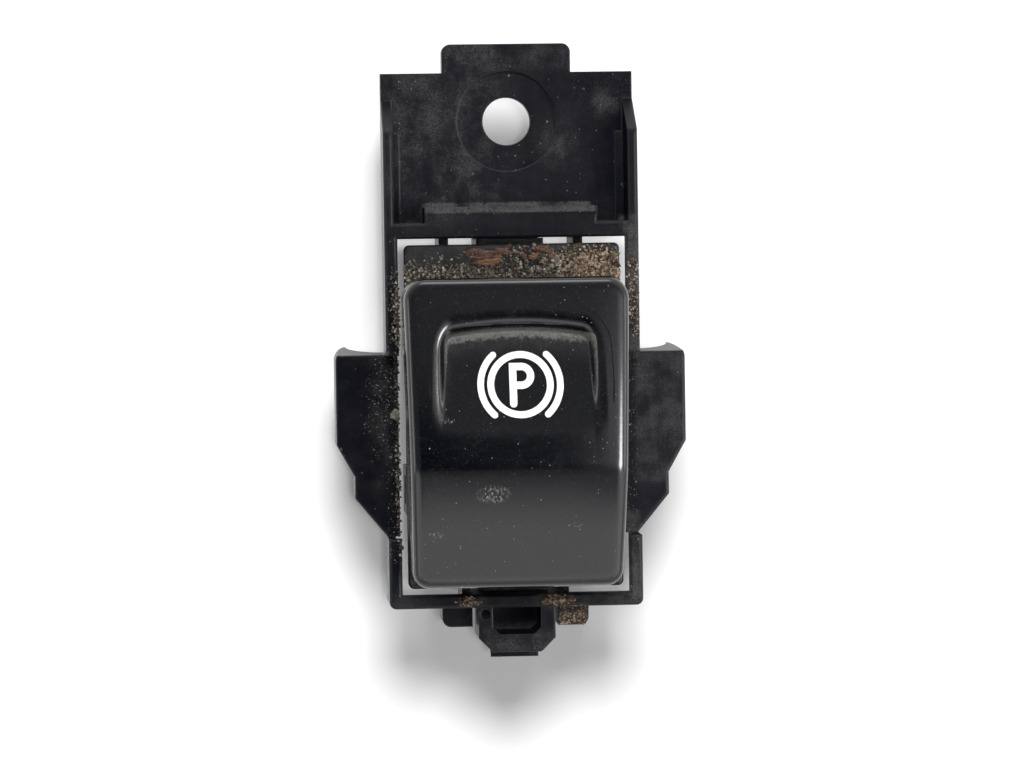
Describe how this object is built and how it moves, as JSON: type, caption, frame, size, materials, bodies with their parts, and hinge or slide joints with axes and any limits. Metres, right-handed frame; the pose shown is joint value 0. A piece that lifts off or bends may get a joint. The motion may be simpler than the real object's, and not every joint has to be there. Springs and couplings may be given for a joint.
{
  "type": "electric parking brake switch",
  "caption": "Rocking electric parking brake switch in a screw-on console bracket, with a scooped knob, a clipped case and a connector socket below.",
  "frame": {"origin": "centre of the fixing screw's hole on the plate's underside", "axes": "+Z out of the panel along the screw hole, +Y along the length to the far end, away from the user, +X to the user's right"},
  "size_m": [0.0366, 0.0643, 0.0426],
  "materials": {
    "bracket_plastic": "matt moulded black",
    "case_plastic": "matt moulded black",
    "cover_plastic": "matt moulded black",
    "knob_plastic": "satin black",
    "carrier_plastic": "natural white",
    "milky_plastic": "milky",
    "clear_plastic": "clear acrylic",
    "slider_plastic": "natural grey",
    "board": "green solder resist",
    "chip": "black epoxy",
    "lamp": "clear epoxy",
    "pin_metal": "tinned",
    "brush_metal": "bright",
    "steel": "ground",
    "spring_steel": "drawn wire"
  },
  "bodies": {
    "housing": {"mounting_bracket": "bracket_plastic", "switch_case": "case_plastic", "base_cover": "cover_plastic", "circuit_board": "board", "terminal_pin_1": "pin_metal", "terminal_pin_2": "pin_metal", "terminal_pin_3": "pin_metal", "terminal_pin_4": "pin_metal", "terminal_pin_5": "pin_metal", "terminal_pin_6": "pin_metal", "terminal_pin_7": "pin_metal", "terminal_pin_8": "pin_metal", "led_search": "lamp", "led_active": "lamp", "control_chip": "chip", "resistor_1": "chip", "resistor_2": "chip", "resistor_3": "chip", "resistor_4": "chip", "light_guide": "clear_plastic", "pivot_pin": "steel", "return_spring_far": "spring_steel", "return_spring_near": "spring_steel"},
    "knob": {"knob_cap": "knob_plastic", "knob_carrier": "carrier_plastic", "symbol_diffuser": "milky_plastic"},
    "slider": {"contact_slider": "slider_plastic", "contact_brush_left": "brush_metal", "contact_brush_right": "brush_metal"}
  },
  "joints": [
    {"name": "knob_rock", "type": "hinge", "parent": "housing", "child": "knob", "pos_m": [0, -0.034, 0.01], "axis": [1, 0, 0], "range_deg": [-6, 9], "stiffness_Nm_per_rad": 0.25, "deforming": ["return_spring_far", "return_spring_near"]},
    {"name": "slider_shift", "type": "slide", "parent": "housing", "child": "slider", "axis": [0, 1, 0], "range_m": [-0.0018, 0.0027]}
  ],
  "couplings": [
    {"joint": "slider_shift", "follows": "knob_rock", "m_per_rad": 0.016}
  ]
}
